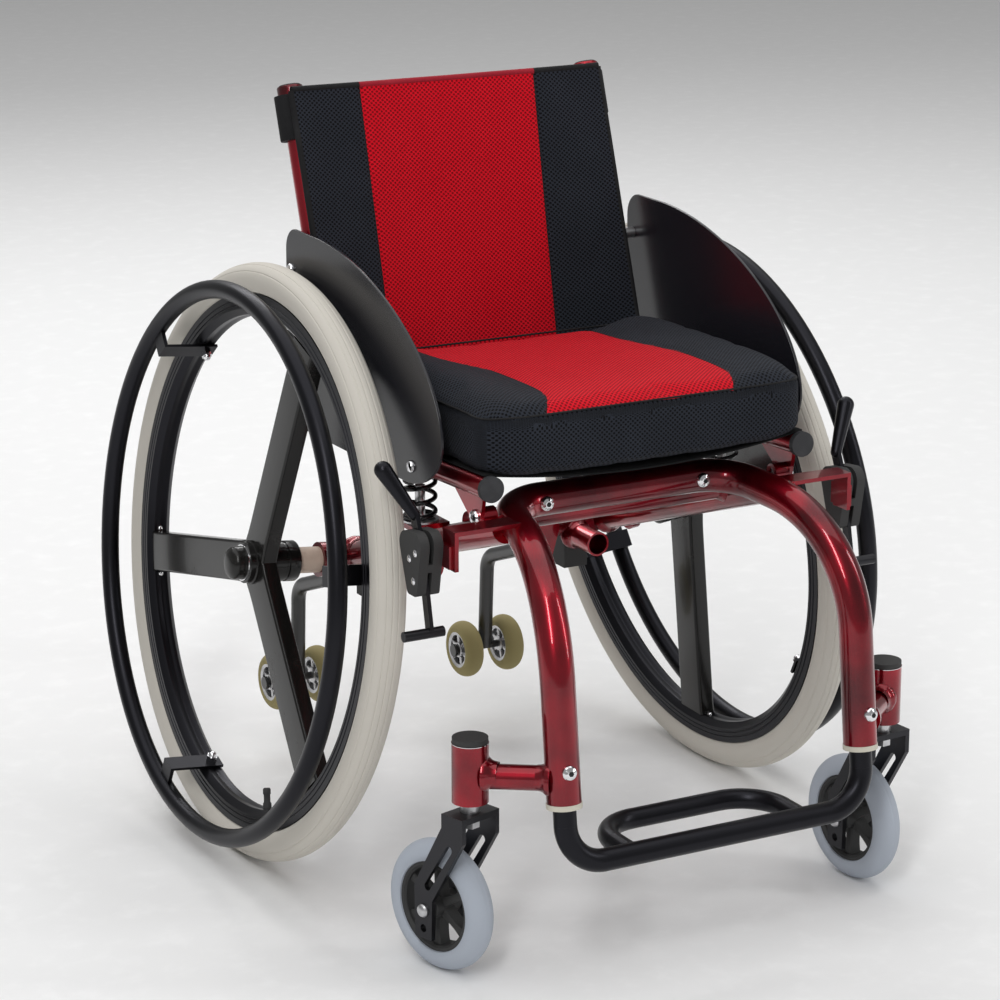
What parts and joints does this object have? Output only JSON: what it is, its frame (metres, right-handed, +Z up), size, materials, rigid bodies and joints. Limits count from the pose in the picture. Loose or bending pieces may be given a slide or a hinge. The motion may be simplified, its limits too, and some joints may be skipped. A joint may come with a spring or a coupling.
{
  "type": "manual wheelchair",
  "caption": "Rigid-frame manual wheelchair with cambered spoked wheels, handrims, casters, sprung seat, side guards, push brakes, tube footrest and anti-tip wheels.",
  "frame": {"origin": "on the ground under the middle of the chair's box", "axes": "+X to the chair's left, +Y to its rear, +Z up; the chair faces -Y"},
  "size_m": [0.6836, 0.7933, 0.7774],
  "materials": {
    "frame_red": "metallic deep red gloss paint",
    "gloss_black": "gloss black paint on aluminium",
    "satin_black": "satin black anodised aluminium",
    "chrome": "polished chrome",
    "spring_steel": "black coated spring steel",
    "tyre_grey": "light warm grey solid tyre",
    "caster_grey": "blue-grey polyurethane",
    "black_plastic": "matte black plastic",
    "cream_plastic": "cream nylon",
    "roller_amber": "translucent olive amber polyurethane",
    "arm_grey": "dark grey painted aluminium",
    "mesh_black": "black spacer mesh over foam",
    "mesh_back": "red and black spacer mesh",
    "sling_black": "black nylon webbing",
    "guard_black": "gloss black"
  },
  "bodies": {
    "frame": {"front_hoop": "frame_red", "side_tubes": "frame_red", "rear_cross_tube": "frame_red", "axle_tube": "frame_red", "socket_tubes": "frame_red", "axle_plates": "frame_red", "axle_sleeves": "cream_plastic", "axle_pins": "chrome", "head_tube_left": "frame_red", "head_tube_right": "frame_red", "head_caps": "black_plastic", "leg_collars": "cream_plastic", "frame_bolts": "chrome", "pivot_bolts": "chrome", "anti_tip_arm_left": "arm_grey", "anti_tip_arm_right": "arm_grey", "anti_tip_clamps": "black_plastic", "brake_bracket_left": "frame_red", "brake_bracket_right": "frame_red", "brake_housing_left": "black_plastic", "brake_housing_right": "black_plastic", "spring_left": "spring_steel", "spring_right": "spring_steel", "spring_rods": "chrome"},
    "seat": {"seat_rails": "frame_red", "rail_caps": "black_plastic", "back_posts": "frame_red", "post_caps": "black_plastic", "side_guard_left": "guard_black", "side_guard_right": "guard_black", "cushion": "mesh_black", "seat_sling": "sling_black", "back_upholstery": "mesh_back"},
    "footrest": {"footrest": "gloss_black"},
    "wheel_left": {"tyre_left": "tyre_grey", "rim_left": "gloss_black", "spider_left": "gloss_black", "handrim_left": "gloss_black", "handrim_nuts_left": "chrome"},
    "caster_left": {"caster_fork_left": "satin_black", "caster_hardware_left": "chrome"},
    "caster_wheel_left": {"caster_tyre_left": "caster_grey", "caster_hub_left": "black_plastic"},
    "brake_lever_left": {"brake_lever_left": "gloss_black"},
    "brake_shoe_left": {"brake_shoe_left": "satin_black"},
    "anti_tip_wheel_left_inner": {"anti_tip_wheel_left_inner": "roller_amber"},
    "anti_tip_wheel_left_outer": {"anti_tip_wheel_left_outer": "roller_amber"},
    "wheel_right": {"tyre_right": "tyre_grey", "rim_right": "gloss_black", "spider_right": "gloss_black", "handrim_right": "gloss_black", "handrim_nuts_right": "chrome"},
    "caster_right": {"caster_fork_right": "satin_black", "caster_hardware_right": "chrome"},
    "caster_wheel_right": {"caster_tyre_right": "caster_grey", "caster_hub_right": "black_plastic"},
    "brake_lever_right": {"brake_lever_right": "gloss_black"},
    "brake_shoe_right": {"brake_shoe_right": "satin_black"},
    "anti_tip_wheel_right_inner": {"anti_tip_wheel_right_inner": "roller_amber"},
    "anti_tip_wheel_right_outer": {"anti_tip_wheel_right_outer": "roller_amber"}
  },
  "joints": [
    {"name": "wheel_left_spin", "type": "hinge", "parent": "frame", "child": "wheel_left", "pos_m": [0.25555, 0.091, 0.30343], "axis": [0.9945, 0, 0.1045], "continuous": true},
    {"name": "caster_left_swivel", "type": "hinge", "parent": "frame", "child": "caster_left", "pos_m": [0.232, -0.321, 0], "axis": [0, 0, 1], "continuous": true},
    {"name": "caster_left_spin", "type": "hinge", "parent": "caster_left", "child": "caster_wheel_left", "pos_m": [0.2286, -0.28215, 0.064], "axis": [0.9962, 0.0872, 0], "continuous": true},
    {"name": "anti_tip_left_inner_spin", "type": "hinge", "parent": "frame", "child": "anti_tip_wheel_left_inner", "pos_m": [0.092, 0.297, 0.095], "axis": [1, 0, 0], "continuous": true},
    {"name": "anti_tip_left_outer_spin", "type": "hinge", "parent": "frame", "child": "anti_tip_wheel_left_outer", "pos_m": [0.144, 0.297, 0.095], "axis": [1, 0, 0], "continuous": true},
    {"name": "brake_lever_left_pivot", "type": "hinge", "parent": "frame", "child": "brake_lever_left", "pos_m": [0.23655, -0.235, 0.398], "axis": [1, 0, 0], "range_deg": [0, 50]},
    {"name": "brake_shoe_left_pivot", "type": "hinge", "parent": "frame", "child": "brake_shoe_left", "pos_m": [0.23655, -0.24, 0.372], "axis": [1, 0, 0], "range_deg": [0, 34]},
    {"name": "wheel_right_spin", "type": "hinge", "parent": "frame", "child": "wheel_right", "pos_m": [-0.25555, 0.091, 0.30343], "axis": [-0.9945, 0, 0.1045], "continuous": true},
    {"name": "caster_right_swivel", "type": "hinge", "parent": "frame", "child": "caster_right", "pos_m": [-0.232, -0.321, 0], "axis": [0, 0, 1], "continuous": true},
    {"name": "caster_right_spin", "type": "hinge", "parent": "caster_right", "child": "caster_wheel_right", "pos_m": [-0.24275, -0.28351, 0.064], "axis": [0.9613, 0.2756, 0], "continuous": true},
    {"name": "anti_tip_right_inner_spin", "type": "hinge", "parent": "frame", "child": "anti_tip_wheel_right_inner", "pos_m": [-0.092, 0.297, 0.095], "axis": [1, 0, 0], "continuous": true},
    {"name": "anti_tip_right_outer_spin", "type": "hinge", "parent": "frame", "child": "anti_tip_wheel_right_outer", "pos_m": [-0.144, 0.297, 0.095], "axis": [1, 0, 0], "continuous": true},
    {"name": "brake_lever_right_pivot", "type": "hinge", "parent": "frame", "child": "brake_lever_right", "pos_m": [-0.23655, -0.235, 0.398], "axis": [1, 0, 0], "range_deg": [0, 50]},
    {"name": "brake_shoe_right_pivot", "type": "hinge", "parent": "frame", "child": "brake_shoe_right", "pos_m": [-0.23655, -0.24, 0.372], "axis": [1, 0, 0], "range_deg": [0, 34]},
    {"name": "seat_suspension", "type": "hinge", "parent": "frame", "child": "seat", "pos_m": [0, -0.227, 0.42], "axis": [-1, 0, 0], "range_deg": [0, 3], "stiffness_Nm_per_rad": 900, "springref_deg": -4.58, "deforming": ["spring_left", "spring_right"]},
    {"name": "footrest_height", "type": "slide", "parent": "frame", "child": "footrest", "axis": [0, 0.1167, 0.9932], "range_m": [-0.04, 0.015]}
  ],
  "couplings": [
    {"joint": "brake_shoe_left_pivot", "follows": "brake_lever_left_pivot", "ratio": 0.68},
    {"joint": "brake_shoe_right_pivot", "follows": "brake_lever_right_pivot", "ratio": 0.68}
  ]
}
